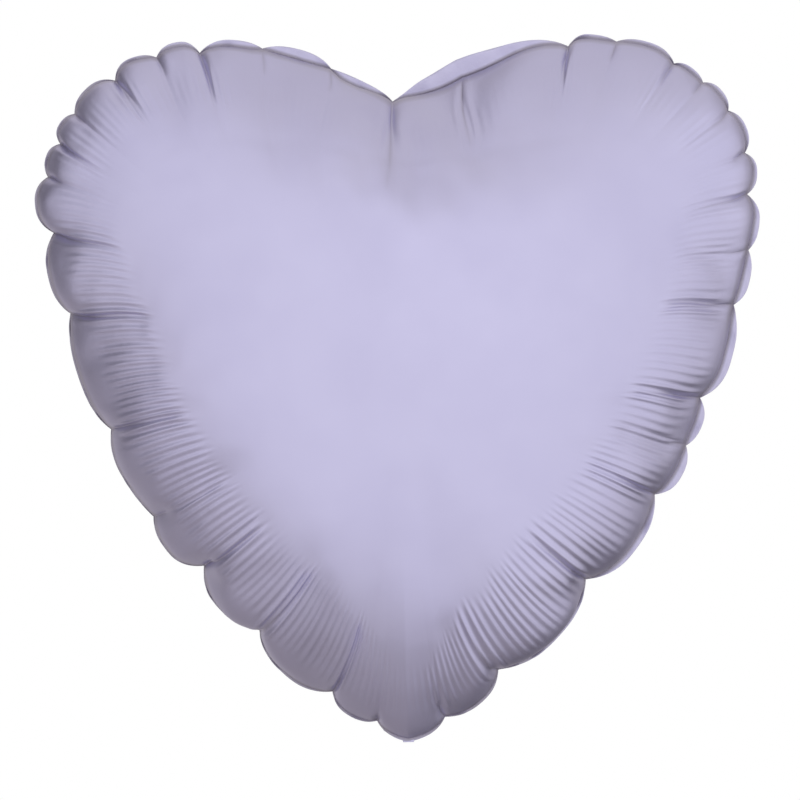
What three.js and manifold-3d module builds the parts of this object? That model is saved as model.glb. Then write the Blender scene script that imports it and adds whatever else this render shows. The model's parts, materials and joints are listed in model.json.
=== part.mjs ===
// A heart-shaped foil balloon, inflated, standing upright in the XZ plane.
// Millimetres, +Z up, the front of the balloon faces -Y.
// The origin is the middle of the flat border's bottom edge, where the ribbon is tied.
import * as THREE from 'three';
import { mergeVertices } from 'three/addons/utils/BufferGeometryUtils.js';
import Module from 'manifold-3d';

const wasm = await Module();
wasm.setup();

// ---------------------------------------------------------------- driving dimensions
const HALF_WIDTH = 189.5;        // seam at its widest, from the centre line
const SEAM_BOTTOM = 8;           // height of the seam at the bottom tip
const SEAM_TOP = 378;            // height of the seam at the top of the two lobes
const HALF_DEPTH = 95;           // gas pressure lifts each panel this far off the seam plane
const CENTRE_HEIGHT = 188;       // middle of each panel, where the dome is deepest
const CENTRE_RADIUS = 178;       // the dome's contours round off to circles of this size

const FILM = 0.6;                // wall of the panels and the tail
const GAP = 0.3;                 // left between pieces that touch
const BORDER_WIDTH = 8;          // flat welded border outside the seam
const BORDER_OVERLAP = 1.2;      // the border also runs this far inside the seam
const BORDER_THICKNESS = 0.8;    // the two films fused into one

const TAIL_WIDTH = 28;           // filling tail, over its two welded sides
const TAIL_LENGTH = 55;
const TAIL_SEAL_WIDTH = 4;       // weld along each long side of the tail
const TAIL_LEAN = 68;            // degrees from upright, folded against the back panel
const FOLD_DROP = 1.0;           // the fold line lies this far below the border
const FOLD_CLEARANCE = 4.7;      // from the fold line to the first edge of the tail

const NECK_FILM = 0.5;           // the panels' flat tongues, which cross the border to the tail
const VALVE_WIDTH = 21;          // flat self-sealing valve, between the two panels
const VALVE_HEIGHT = 118;
const VALVE_FILM = 0.25;

const OUTLINE_STEPS = 64;        // flat facets round the heart
const DOME_RINGS = 11;           // facets from the seam to the middle

// ---------------------------------------------------------------- materials
const satinFilm = (color, metalness, roughness) => (
  new THREE.MeshStandardMaterial({ color, metalness, roughness, side: THREE.FrontSide })
);

const balloon = new THREE.Group();
const tail = new THREE.Group();

function addPiece(group, name, geometry, material) {
  const mesh = new THREE.Mesh(geometry, material);
  mesh.name = name;
  group.add(mesh);
  return mesh;
}

// ---------------------------------------------------------------- heart outline
// Right half of the seam, from the bottom tip to the cleft, as fractions of the half
// width and of the height from tip to lobe top. The left half mirrors it.
const HALF_SEAM = [
  [0.000, 0.000],    // blunt bottom tip
  [0.115, 0.019],
  [0.245, 0.066],
  [0.525, 0.220],    // side, slightly bulged
  [0.765, 0.385],
  [0.905, 0.560],
  [0.990, 0.740],
  [0.975, 0.865],    // shoulder of the lobe
  [0.800, 0.965],
  [0.510, 1.000],    // top of the lobe
  [0.250, 0.976],
  [0.000, 0.917],    // bottom of the cleft
];

/** The seam as a closed ring of points, starting at the tip and running up the right side. */
function seamOutline(steps) {
  const height = SEAM_TOP - SEAM_BOTTOM;
  const half = new THREE.SplineCurve(HALF_SEAM.map(([across, up]) => (
    new THREE.Vector2(across * HALF_WIDTH, SEAM_BOTTOM + up * height)
  )));
  const right = half.getSpacedPoints(steps / 2);
  const left = right.slice(1, -1).reverse().map((p) => new THREE.Vector2(-p.x, p.y));
  return [...right, ...left];
}

/** The same ring moved outward by a distance, or inward if it is negative. */
function offsetOutline(points, distance) {
  return points.map((point, i) => {
    const before = points[(i + points.length - 1) % points.length];
    const after = points[(i + 1) % points.length];
    const in1 = point.clone().sub(before).normalize();
    const out1 = after.clone().sub(point).normalize();
    const along = in1.clone().add(out1).normalize();
    const outward = new THREE.Vector2(along.y, -along.x);
    return point.clone().addScaledVector(outward, distance / along.dot(in1));
  });
}

// ---------------------------------------------------------------- inflated panels
/** How full the dome is toward a direction: 1 at the sides, 0 at the narrow tip, 1.5 at the cleft. */
function fullness(arm) {
  const offTip = THREE.MathUtils.radToDeg(Math.abs(Math.atan2(arm.x, -arm.y)));
  const beyondTip = THREE.MathUtils.smoothstep(offTip, 8, 42);
  const towardCleft = THREE.MathUtils.smoothstep(offTip, 160, 180);
  return beyondTip * (1 + 0.5 * towardCleft);
}

/** Depth of the dome at a fraction of the way from the middle (0) to the seam (1). */
function domeDepth(fraction, full) {
  return HALF_DEPTH * (1 - fraction ** (2.6 + 0.5 * full)) ** (0.9 - 0.33 * full);
}

/** One film panel: a thin heart-shaped dish that opens toward the seam plane. */
function panelGeometry(facing) {
  const rim = seamOutline(OUTLINE_STEPS);
  const centre = new THREE.Vector2(0, CENTRE_HEIGHT);
  const rimY = BORDER_THICKNESS / 2 + GAP;
  const outer = [];
  for (let ring = 0; ring < DOME_RINGS; ring += 1) {
    const fraction = 1 - (ring / DOME_RINGS) ** 1.5;
    for (const point of rim) {
      const arm = point.clone().sub(centre);
      const seamRadius = arm.length();
      const radius = THREE.MathUtils.lerp(CENTRE_RADIUS, seamRadius, fraction ** 1.5);
      arm.multiplyScalar((radius * fraction) / seamRadius);
      const depth = rimY + domeDepth(fraction, fullness(arm));
      outer.push(new THREE.Vector3(arm.x, depth, centre.y + arm.y));
    }
  }
  outer.push(new THREE.Vector3(0, rimY + HALF_DEPTH, CENTRE_HEIGHT));

  const skin = [];
  const count = rim.length;
  for (let ring = 0; ring < DOME_RINGS - 1; ring += 1) {
    for (let i = 0; i < count; i += 1) {
      const a = ring * count + i;
      const b = ring * count + ((i + 1) % count);
      skin.push([a, a + count, b], [b, a + count, b + count]);
    }
  }
  const lastRing = (DOME_RINGS - 1) * count;
  for (let i = 0; i < count; i += 1) {
    skin.push([lastRing + i, outer.length - 1, lastRing + ((i + 1) % count)]);
  }

  const inner = thickened(outer, skin, FILM);
  for (let i = 0; i < count; i += 1) {
    inner[i].y = rimY;
  }
  const positions = [...outer, ...inner].flatMap((p) => [p.x, p.y * facing, p.z]);
  const triangles = [];
  const shift = outer.length;
  for (const [a, b, c] of skin) {
    triangles.push([a, b, c], [a + shift, c + shift, b + shift]);
  }
  for (let i = 0; i < count; i += 1) {
    const next = (i + 1) % count;
    triangles.push([i, next, i + shift], [next, next + shift, i + shift]);
  }
  const geometry = new THREE.BufferGeometry();
  geometry.setAttribute('position', new THREE.Float32BufferAttribute(positions, 3));
  geometry.setIndex(triangles.flatMap(([a, b, c]) => (facing > 0 ? [a, b, c] : [a, c, b])));
  geometry.computeVertexNormals();
  return geometry;
}

/** A copy of a skin's points, each moved in along the skin's normal by the wall. */
function thickened(points, triangles, wall) {
  const normals = points.map(() => new THREE.Vector3());
  for (const [a, b, c] of triangles) {
    const side1 = points[b].clone().sub(points[a]);
    const side2 = points[c].clone().sub(points[a]);
    const normal = side1.cross(side2);
    [a, b, c].forEach((i) => normals[i].add(normal));
  }
  return points.map((p, i) => p.clone().addScaledVector(normals[i].normalize(), -wall));
}

/** The flat tongue of a panel, which runs down across the border to the fold line. */
function neckGeometry(facing) {
  const height = SEAM_BOTTOM + FILM;
  const geometry = new THREE.BoxGeometry(VALVE_WIDTH, NECK_FILM, height);
  geometry.translate(0, facing * (BORDER_THICKNESS / 2 + GAP + NECK_FILM / 2), height / 2);
  return geometry;
}

function solidOf(geometry) {
  const bare = geometry.clone();
  bare.deleteAttribute('normal');
  bare.deleteAttribute('uv');
  const merged = mergeVertices(bare);
  return new wasm.Manifold(new wasm.Mesh({
    numProp: 3,
    vertProperties: new Float32Array(merged.attributes.position.array),
    triVerts: new Uint32Array(merged.index.array),
  }));
}

function joined(...geometries) {
  const mesh = geometries.map(solidOf).reduce((whole, next) => whole.add(next)).getMesh();
  const geometry = new THREE.BufferGeometry();
  geometry.setAttribute('position', new THREE.BufferAttribute(mesh.vertProperties, 3));
  geometry.setIndex(new THREE.BufferAttribute(mesh.triVerts, 1));
  geometry.computeVertexNormals();
  return geometry;
}

const frontPanel = joined(panelGeometry(-1), neckGeometry(-1));
const backPanel = joined(panelGeometry(1), neckGeometry(1));
addPiece(balloon, 'front_panel', frontPanel, satinFilm(0xc3bfe0, 0.6, 0.36));
addPiece(balloon, 'back_panel', backPanel, satinFilm(0xbdb9da, 0.6, 0.38));

// ---------------------------------------------------------------- welded border
/** The flat border: both films fused all round the heart, open at the filling neck. */
function borderGeometry() {
  const seam = seamOutline(OUTLINE_STEPS * 2);
  const outside = offsetOutline(seam, BORDER_WIDTH);
  const inside = offsetOutline(seam, -BORDER_OVERLAP);
  const neck = VALVE_WIDTH / 2 + GAP;
  const clearOfNeck = (p) => p.y > CENTRE_HEIGHT || Math.abs(p.x) > neck + 1;
  const neckEdge = (ring) => {
    const right = ring.filter(clearOfNeck);
    const height = right[0].y;
    right.unshift(new THREE.Vector2(neck, ring[0].y + (height - ring[0].y) * 0.5));
    right.push(new THREE.Vector2(-neck, ring[0].y + (height - ring[0].y) * 0.5));
    return right;
  };
  const shape = new THREE.Shape([...neckEdge(outside), ...neckEdge(inside).reverse()]);
  const geometry = new THREE.ExtrudeGeometry(shape, {
    depth: BORDER_THICKNESS,
    bevelEnabled: false,
    steps: 1,
  });
  geometry.translate(0, 0, -BORDER_THICKNESS / 2);
  geometry.rotateX(Math.PI / 2);
  return geometry;
}

addPiece(balloon, 'welded_border', borderGeometry(), satinFilm(0xcbc6e2, 0.5, 0.32));

// ---------------------------------------------------------------- self-sealing valve
/** One of the valve's two flat films, which gas pressure presses together. */
function valveFilm(name, side) {
  const geometry = new THREE.BoxGeometry(VALVE_WIDTH, VALVE_FILM, VALVE_HEIGHT);
  const mesh = addPiece(balloon, name, geometry, satinFilm(0xe8e8ec, 0.0, 0.25));
  mesh.position.set(0, side * (GAP + VALVE_FILM) / 2, FOLD_DROP + VALVE_HEIGHT / 2);
}

valveFilm('valve_front_film', -1);
valveFilm('valve_back_film', 1);

// ---------------------------------------------------------------- filling tail
// The tail is laid out hanging straight down from its fold line, then turned up behind.
const channelWidth = TAIL_WIDTH - 2 * (TAIL_SEAL_WIDTH + GAP);
const tailThickness = 2 * FILM + GAP;
const tailMiddle = -FOLD_CLEARANCE - TAIL_LENGTH / 2;

/** One of the tail's two films, with the filling channel left between them. */
function tailFilm(name, side) {
  const geometry = new THREE.BoxGeometry(channelWidth, FILM, TAIL_LENGTH);
  const mesh = addPiece(tail, name, geometry, satinFilm(0xbdb9da, 0.6, 0.36));
  mesh.position.set(0, side * (GAP + FILM) / 2, tailMiddle);
}

/** The weld along one long side of the tail. */
function tailSeal(name, side) {
  const geometry = new THREE.BoxGeometry(TAIL_SEAL_WIDTH, tailThickness, TAIL_LENGTH);
  const mesh = addPiece(tail, name, geometry, satinFilm(0xcbc6e2, 0.5, 0.32));
  mesh.position.set(side * (TAIL_WIDTH - TAIL_SEAL_WIDTH) / 2, 0, tailMiddle);
}

tailFilm('tail_inner_film', 1);
tailFilm('tail_outer_film', -1);
tailSeal('tail_seal_left', -1);
tailSeal('tail_seal_right', 1);

tail.position.set(0, 0, -FOLD_DROP);
tail.rotation.x = THREE.MathUtils.degToRad(180 - TAIL_LEAN);
balloon.add(tail);

export default balloon;
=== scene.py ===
"""Looks of a heart-shaped foil balloon: two welded films, inflated, puckered along the weld."""
import json
import math

import bpy
import numpy as np
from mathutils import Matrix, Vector, geometry


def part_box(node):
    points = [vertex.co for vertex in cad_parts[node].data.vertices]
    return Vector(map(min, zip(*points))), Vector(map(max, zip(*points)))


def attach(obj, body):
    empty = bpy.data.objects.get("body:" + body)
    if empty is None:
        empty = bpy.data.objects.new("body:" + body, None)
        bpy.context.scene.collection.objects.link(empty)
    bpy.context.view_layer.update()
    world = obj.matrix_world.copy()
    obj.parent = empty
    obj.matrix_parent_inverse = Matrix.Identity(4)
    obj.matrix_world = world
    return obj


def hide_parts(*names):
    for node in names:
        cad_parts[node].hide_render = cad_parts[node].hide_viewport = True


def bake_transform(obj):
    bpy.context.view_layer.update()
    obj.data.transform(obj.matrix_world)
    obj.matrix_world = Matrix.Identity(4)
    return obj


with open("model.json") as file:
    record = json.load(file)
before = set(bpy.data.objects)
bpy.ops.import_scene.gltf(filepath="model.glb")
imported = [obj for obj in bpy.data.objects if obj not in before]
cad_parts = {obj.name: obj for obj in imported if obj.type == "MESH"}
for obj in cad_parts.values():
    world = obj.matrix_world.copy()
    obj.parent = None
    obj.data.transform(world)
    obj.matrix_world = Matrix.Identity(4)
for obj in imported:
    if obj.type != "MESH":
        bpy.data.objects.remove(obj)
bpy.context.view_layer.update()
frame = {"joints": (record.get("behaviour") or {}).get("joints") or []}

MM = 0.001
RANDOM_SEED = 18

# ---- places, from the frame
PANEL_LOW, PANEL_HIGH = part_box("front_panel")
BORDER_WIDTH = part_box("welded_border")[1][2] - PANEL_HIGH[2]
HALF_WIDTH = PANEL_HIGH[0]
SEAM_TOP = PANEL_HIGH[2]
SEAM_BOTTOM = BORDER_WIDTH
MIDDLE = 0.5 * (PANEL_LOW[2] + PANEL_HIGH[2])     # height of the dome's deepest point
HALF_DEPTH = PANEL_HIGH[1] - PANEL_LOW[1]
ROUND_RADIUS = 0.94 * HALF_WIDTH                  # the dome's inner contours are this round


def new_object(name, data):
    """An object with this data, linked to the scene."""
    made = bpy.data.objects.new(name, data)
    bpy.context.scene.collection.objects.link(made)
    return made


# ---- the weld's outline
# Right half from the bottom tip to the cleft, the same points as the CAD outline:
# fractions of the half width and of the height from tip to lobe top.
HALF_SEAM = [
    (0.000, 0.000), (0.115, 0.019), (0.245, 0.066), (0.525, 0.220), (0.765, 0.385), (0.905, 0.560),
    (0.990, 0.740), (0.975, 0.865), (0.800, 0.965), (0.510, 1.000), (0.250, 0.976), (0.000, 0.917),
]

# Puckers, clockwise from the cleft, by angle round the heart in degrees. For each, in
# millimetres: how far the film's cut edge lies outside the smooth weld line there, how far the
# crease runs in over the panel, and how far out the cut edge lies on the lobe that follows.
PUCKERS = [
    (0.0, 2.3, 44, 3.8), (12.6, 5.2, 30, 4.9), (26.8, -1.0, 19, 6.8), (33.0, 4.6, 0, 8.4),
    (41.0, 2.6, 14, 6.2), (45.6, 4.0, 0, 8.4), (50.6, 4.6, 13, 9.2), (56.6, 4.4, 0, 10.8),
    (61.8, 5.0, 30, 14.0), (68.8, 10.0, 0, 13.8), (76.5, 8.0, 38, 14.6), (92.4, 4.0, 37, 10.6),
    (101.5, 7.0, 0, 12.6), (113.0, 5.0, 27, 14.0), (136.1, 2.4, 45, 11.6), (161.0, -1.0, 32, 6.2),
    (173.2, 2.0, 12, 9.0), (185.7, 1.8, 0, 6.0), (194.9, 0.0, 32, 12.0), (212.7, 3.6, 44, 11.8),
    (230.3, 2.2, 48, 12.6), (245.0, 6.6, 0, 8.8), (264.2, 2.0, 44, 8.8), (284.7, 1.2, 42, 8.8),
    (295.8, -0.6, 36, 9.4), (302.9, 0.8, 0, 4.0), (307.7, -1.0, 21, 4.8), (312.2, 1.2, 9, 6.0),
    (319.4, -0.4, 22, 7.5), (325.7, 3.6, 0, 9.6), (331.4, 1.2, 26, 8.0), (339.6, 5.4, 0, 9.4),
    (349.2, 5.0, 0, 5.0),
]
# Width of the welded border beyond the weld on the lobes, by direction, in millimetres: the
# cut is not centred on the weld. It narrows to BORDER_LEAST at each pucker.
BORDER = [
    (0, 1.0), (2, 0.6), (27, 0.6), (29, 2.0), (60, 2.4), (72, 4.6), (110, 4.6), (130, 3.0),
    (150, 1.6), (170, 0.8), (180, 1.4), (188, 0.8), (215, 0.6), (260, 0.6), (290, 0.8), (320, 1.2),
    (332, 2.6), (345, 5.4), (354, 4.0), (360, 1.0),
]
BORDER_LEAST = 0.25
# Extra border beside the cleft, on the right: direction and width in millimetres.
WIDE_BORDER = [
    (0, 0), (2.4, 0.8), (5, 6.0), (9, 8.8), (13, 10.4), (16, 9.4), (20, 5.6), (24, 2.0), (27, 0),
]
# The smoothing of that table: steps either side in degrees, and the weight of each.
WIDE_TAPS = [(-2.4, 1), (-1.2, 2), (0.0, 3), (1.2, 2), (2.4, 1)]


TANGENT_SMOOTHING = 6 * MM


def catmull_rom(points, samples):
    """A smooth curve through points, as a three.js SplineCurve runs."""
    points = np.array(points)
    along = np.linspace(0, len(points) - 1, samples)
    at = np.minimum(along.astype(int), len(points) - 2)
    w = (along - at)[:, None]
    p1, p2 = points[at], points[at + 1]
    v1 = 0.5 * (p2 - points[np.maximum(at - 1, 0)])
    v2 = 0.5 * (points[np.minimum(at + 2, len(points) - 1)] - p1)
    cubic = (2 * p1 - 2 * p2 + v1 + v2) * w**3 + (3 * p2 - 3 * p1 - 2 * v1 - v2) * w**2
    return cubic + v1 * w + p1


def smooth_ring(values, width):
    """Gaussian smoothing of values on a closed ring, width in samples."""
    reach = int(3 * width)
    weights = np.exp(-0.5 * (np.arange(-reach, reach + 1) / width) ** 2)
    weights /= weights.sum()
    return sum(w * np.roll(values, k, axis=0) for k, w in zip(range(-reach, reach + 1), weights))


def base_ring():
    """The CAD's weld line, clockwise from the cleft."""
    half = catmull_rom(HALF_SEAM, 4000)
    half = half / half.max(axis=0)
    right = half[::-1] * (HALF_WIDTH, SEAM_TOP - SEAM_BOTTOM) + (0, SEAM_BOTTOM)
    return np.vstack([right[:-1], right[::-1] * (-1, 1)])


class Outline:
    """A smooth line round the heart in the XZ plane, clockwise from the cleft, by length."""

    SAMPLES = 3600

    def __init__(self, ring):
        run = np.concatenate([[0], np.cumsum(np.linalg.norm(np.diff(ring, axis=0), axis=1))])
        self.length = run[-1]
        self.s = np.arange(self.SAMPLES) * self.length / self.SAMPLES
        self.points = np.stack([np.interp(self.s, run, ring[:, k]) for k in (0, 1)], axis=1)
        tangent = np.roll(self.points, -1, axis=0) - np.roll(self.points, 1, axis=0)
        tangent = self.smooth(tangent, TANGENT_SMOOTHING)
        tangent /= np.linalg.norm(tangent, axis=1)[:, None]
        self.inward = np.stack([tangent[:, 1], -tangent[:, 0]], axis=1)
        arm = self.points - (0, MIDDLE)
        self.angle = np.degrees(np.unwrap(np.arctan2(arm[:, 0], arm[:, 1])))
        self.radius = np.linalg.norm(arm, axis=1)

    def smooth(self, values, width):
        """values, one for each sample, smoothed over a length of the line."""
        return smooth_ring(values, width / self.length * self.SAMPLES)

    def at(self, values, s):
        """values, one for each sample, read at lengths s along the line."""
        s = np.mod(s, self.length)
        run = np.append(self.s, self.length)
        if values.ndim == 1:
            return np.interp(s, run, np.append(values, values[0]))
        return np.stack([self.at(values[:, k], s) for k in range(values.shape[1])], axis=-1)

    def s_of_angle(self, degrees):
        return np.interp(degrees, np.append(self.angle, 360.0), np.append(self.s, self.length))

    def radius_at(self, degrees):
        angle = np.append(self.angle, 360.0)
        return np.interp(np.mod(degrees, 360.0), angle, np.append(self.radius, self.radius[0]))


def ease(value, low, high):
    """0 below low, 1 above high, smooth between."""
    w = np.clip((value - low) / (high - low), 0, 1)
    return w * w * (3 - 2 * w)


PUCKER_ANGLE, *_lengths = np.array(PUCKERS).T
PUCKER_EDGE, PUCKER_REACH, LOBE_EDGE = (column * MM for column in _lengths)


def lobes(degrees):
    """The pucker before each direction, the one after, and the place between, -1 to 1."""
    degrees = np.mod(degrees, 360.0)
    before = np.searchsorted(PUCKER_ANGLE, degrees, side="right") - 1
    after = (before + 1) % len(PUCKERS)
    end = np.where(after == 0, 360.0, PUCKER_ANGLE[after])
    start = PUCKER_ANGLE[before]
    return before, after, np.clip(2 * (degrees - start) / (end - start) - 1, -1, 1)


def cut_edge(degrees):
    """How far the film's cut edge lies outside the CAD's weld line, straight out."""
    before, after, u = lobes(degrees)
    notch = np.where(u < 0, PUCKER_EDGE[before], PUCKER_EDGE[after])
    return LOBE_EDGE[before] - (LOBE_EDGE[before] - notch) * np.abs(u) ** 2.6


def read_table(rows, degrees, column=1):
    """A column of a table whose first column is the direction, read between its rows."""
    table = np.array(rows)
    return np.interp(np.mod(degrees, 360.0), table[:, 0], table[:, column])


def wide_border(degrees):
    """The extra border beside the cleft, its table smoothed."""
    total = sum(weight * read_table(WIDE_BORDER, degrees + step) for step, weight in WIDE_TAPS)
    return total / sum(weight for _, weight in WIDE_TAPS) * MM


def border_width(degrees):
    """Width of the border: a paler strip on each lobe, nearly nothing at each pucker."""
    wide = read_table(BORDER, degrees) * (1 - np.abs(lobes(degrees)[2]) ** 3)
    return (BORDER_LEAST + wide) * MM + wide_border(degrees)


# The weld lies inside the cut edge by the border's width. Its slow part, smoothed over these
# lengths of the line, makes the smooth outline, and the rest makes the lobes and puckers.
LOBE_SMOOTHING = 22 * MM
WIDE_SMOOTHING = 7 * MM
BASE = Outline(base_ring())
_arm = (BASE.points - (0, MIDDLE)) / BASE.radius[:, None]
SQUARENESS = -(BASE.inward * _arm).sum(axis=1)
_wide = BASE.smooth(wide_border(BASE.angle) * SQUARENESS, 4 * MM)
_lobed = (cut_edge(BASE.angle) - border_width(BASE.angle) + wide_border(BASE.angle)) * SQUARENESS
BASE_WELD = _lobed - _wide
SLOW_WELD = BASE.smooth(_lobed, LOBE_SMOOTHING) - BASE.smooth(_wide, WIDE_SMOOTHING)
_ring = BASE.points - BASE.inward * SLOW_WELD[:, None]
OUTLINE = Outline(np.vstack([_ring, _ring[:1]]))
PUCKER_S = OUTLINE.s_of_angle(PUCKER_ANGLE)
PUCKER_S[0] = 0.0


def seam_shift(s):
    """How far the weld lies outside the smooth outline: out on each lobe, in at each pucker."""
    degrees = OUTLINE.at(OUTLINE.angle, s)
    return np.interp(degrees, BASE.angle, BASE_WELD - SLOW_WELD)


CLEFT_PUCKER_DEPTH = -2.2 * MM   # negative: the cleft's own crease is cut less than others
PUCKER_DEPTH = np.maximum(-seam_shift(PUCKER_S), 0.5 * MM)
PUCKER_DEPTH[0] = CLEFT_PUCKER_DEPTH


# Wandering of the weld out of its plane, as a few slow waves round the heart.
rng = np.random.default_rng(RANDOM_SEED)
WANDER = [(k, rng.uniform(0, 2 * math.pi), 1.6 * MM / (1 + 0.15 * k)) for k in (3, 5, 8, 13, 17)]
WANDER_FADE = 20 * MM            # how far in over the panel the film follows it
TIP_STRETCH = 14 * MM            # the weld doesn't wander this near the tip, where the neck is
TIP_WANDER = -0.5 * MM


def bell(value, width):
    """1 at 0, falling away over width on either side."""
    return np.exp(-((value / width) ** 2))


def seam_wander(s):
    """How far the weld lies out of its plane, to the back."""
    turn = 2 * math.pi * s / OUTLINE.length
    tip = bell(s - 0.5 * OUTLINE.length, TIP_STRETCH)
    wave = sum(size * np.sin(k * turn + phase) for k, phase, size in WANDER)
    return wave * (1 - tip) + TIP_WANDER * tip


# ---- the smooth inflated dome
def dome_radius(fraction, seam_radius):
    """Distance from the middle axis: round contours inside, heart-shaped ones at the weld."""
    return fraction * (ROUND_RADIUS + (seam_radius - ROUND_RADIUS) * fraction**1.5)


CLEFT_FULLNESS = 0.5


def dome_depth(fraction, degrees):
    """Depth in front of the weld: full to near the weld, most so at the cleft, least at the tip."""
    off_tip = np.abs(np.mod(degrees, 360.0) - 180)
    full = ease(off_tip, 8, 42) * (1 + CLEFT_FULLNESS * ease(off_tip, 160, 180))
    fraction = np.clip(fraction, 0, 1)
    return HALF_DEPTH * (1 - fraction ** (2.6 + 0.5 * full)) ** (0.9 - 0.33 * full)


def fraction_where(rising, target, halvings):
    """The fraction, 0 to 1, where a rising function of it reaches each target, by halving."""
    low = np.zeros_like(target)
    high = np.ones_like(target)
    for _ in range(halvings):
        mid = 0.5 * (low + high)
        under = rising(mid) < target
        low = np.where(under, mid, low)
        high = np.where(under, high, mid)
    return 0.5 * (low + high)


# Length of film from the middle to each fraction of the way out, by direction.
FRACTIONS = np.linspace(0, 1, 241)
DIRECTIONS = np.arange(0, 361, 1.5)
_radii = dome_radius(FRACTIONS[None, :], OUTLINE.radius_at(DIRECTIONS)[:, None])
_depths = dome_depth(FRACTIONS[None, :], DIRECTIONS[:, None])
_steps = np.hypot(np.diff(_radii, axis=1), np.diff(_depths, axis=1))
FILM_RUN = np.concatenate([np.zeros((len(DIRECTIONS), 1)), np.cumsum(_steps, axis=1)], axis=1)


def flat_radius(degrees):
    """The uninflated film's outline, as the length of film from its middle to the weld."""
    return np.interp(np.mod(degrees, 360.0), DIRECTIONS, FILM_RUN[:, -1])


def table_row(degrees):
    """The row of FILM_RUN before each direction, and how far on to the next."""
    place = np.mod(degrees, 360.0) / (DIRECTIONS[1] - DIRECTIONS[0])
    row = np.minimum(place.astype(int), len(DIRECTIONS) - 2)
    return row, place - row


def fraction_to_flat(degrees, fraction):
    """Length of film from the middle out to a fraction of the dome."""
    row, w = table_row(degrees)
    place = np.clip(fraction, 0, 1) * (len(FRACTIONS) - 1)
    col = np.minimum(place.astype(int), len(FRACTIONS) - 2)
    v = place - col
    low = FILM_RUN[row, col] * (1 - v) + FILM_RUN[row, col + 1] * v
    high = FILM_RUN[row + 1, col] * (1 - v) + FILM_RUN[row + 1, col + 1] * v
    return low * (1 - w) + high * w


def gap_from(place, s):
    """Length along the weld from a place to s, the short way round."""
    return (s - place + OUTLINE.length / 2) % OUTLINE.length - OUTLINE.length / 2


def polar(x, z):
    """Angle clockwise from straight up, in degrees, and distance from the middle."""
    return np.mod(np.degrees(np.arctan2(x, z)), 360.0), np.hypot(x, z)


def dome_point(degrees, fraction):
    """Points of the smooth dome as x, depth in front of the weld, z."""
    radius = dome_radius(fraction, OUTLINE.radius_at(degrees))
    turn = np.radians(degrees)
    depth = dome_depth(fraction, degrees)
    return np.stack([radius * np.sin(turn), depth, MIDDLE + radius * np.cos(turn)], axis=-1)


PUCKER_FADE = 13 * MM


def rim_shift(s, inset):
    """In-plane shift that turns the smooth rim into the puckered one, fading over the panel."""
    size = seam_shift(s) * bell(inset, PUCKER_FADE)
    outward = -OUTLINE.at(OUTLINE.inward, s)
    shift = np.zeros(inset.shape + (3,))
    shift[..., 0] = outward[..., 0] * size
    shift[..., 2] = outward[..., 1] * size
    return shift


# ---- inflation by cloth simulation
RIM_STEP = 3.4 * MM
MIDDLE_STEP = 6.5 * MM
RIM_BAND = 78 * MM
SIM_SCALE = 10.0
SIM_FRAMES = 40
DRAW_IN_FRAMES = 22              # the weld is drawn in over these while the gas goes in
FIRST_SWELL = 0.06               # of the inset: sets the flat films apart before they swell
CLOTH = {
    "vertex_group_mass": "weld", "quality": 8, "mass": 0.1, "air_damping": 3.0,
    "tension_stiffness": 80, "compression_stiffness": 80, "shear_stiffness": 40,
    "bending_stiffness": 0.05, "tension_damping": 6, "compression_damping": 6,
    "shear_damping": 6, "use_pressure": True, "uniform_pressure_force": 5.0,
}


def flat_boundary():
    """Points along the flat film's edge, evenly spaced in each lobe so each pucker has one."""
    degrees = []
    for start, end in zip(PUCKER_ANGLE, list(PUCKER_ANGLE[1:]) + [360.0]):
        mean = flat_radius(np.array([0.5 * (start + end)]))[0]
        arc = OUTLINE.s_of_angle(end) - OUTLINE.s_of_angle(start)
        steps = max(4, round(arc * mean / OUTLINE.radius_at(0.5 * (start + end)) / RIM_STEP))
        degrees += list(np.linspace(start, end, steps, endpoint=False))
    degrees = np.array(degrees)
    radius = flat_radius(degrees)
    turn = np.radians(degrees)
    return np.stack([radius * np.sin(turn), radius * np.cos(turn)], axis=1)


def hex_points(step, reach):
    """Points of a slightly shaken triangular grid over a square."""
    rows = int(2 * reach / (step * 0.866)) + 1
    cols = int(2 * reach / step) + 1
    grid = [
        (-reach + (j + 0.5 * (i % 2)) * step, -reach + i * step * 0.866)
        for i in range(rows)
        for j in range(cols)
    ]
    points = np.array(grid)
    return points + rng.uniform(-0.12, 0.12, points.shape) * step


def flat_film():
    """The flat film as a triangle mesh, finer near its edge: points, triangles, edge count."""
    edge = flat_boundary()
    reach = np.abs(edge).max()
    parts = [edge]
    near = (RIM_STEP, 0.62 * RIM_STEP, RIM_BAND)
    far = (MIDDLE_STEP, RIM_BAND + 0.7 * MIDDLE_STEP, reach)
    for step, low, high in (near, far):
        points = hex_points(step, reach)
        angle, radius = polar(points[:, 0], points[:, 1])
        points = points[radius < flat_radius(angle)]
        gap = np.min([np.hypot(points[:, 0] - x, points[:, 1] - y) for x, y in edge], axis=0)
        parts.append(points[(gap > low) & (gap <= high)])
    points = np.vstack(parts)
    count = len(edge)
    rim = [(i, (i + 1) % count) for i in range(count)]
    result = geometry.delaunay_2d_cdt([Vector(p) for p in points / MM], rim, [], 0, 1e-6)
    points = np.array([p[:] for p in result[0]]) * MM
    triangles = np.array([f[:] for f in result[2]])
    middle = points[triangles].mean(axis=1)
    angle, radius = polar(middle[:, 0], middle[:, 1])
    triangles = triangles[radius < flat_radius(angle) - 0.1 * MM]
    a, b, c = (points[triangles[:, k]] for k in range(3))
    turn = (b - a)[:, 0] * (c - a)[:, 1] - (b - a)[:, 1] * (c - a)[:, 0]
    triangles[turn < 0] = triangles[turn < 0][:, ::-1]
    return points, triangles, count


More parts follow.
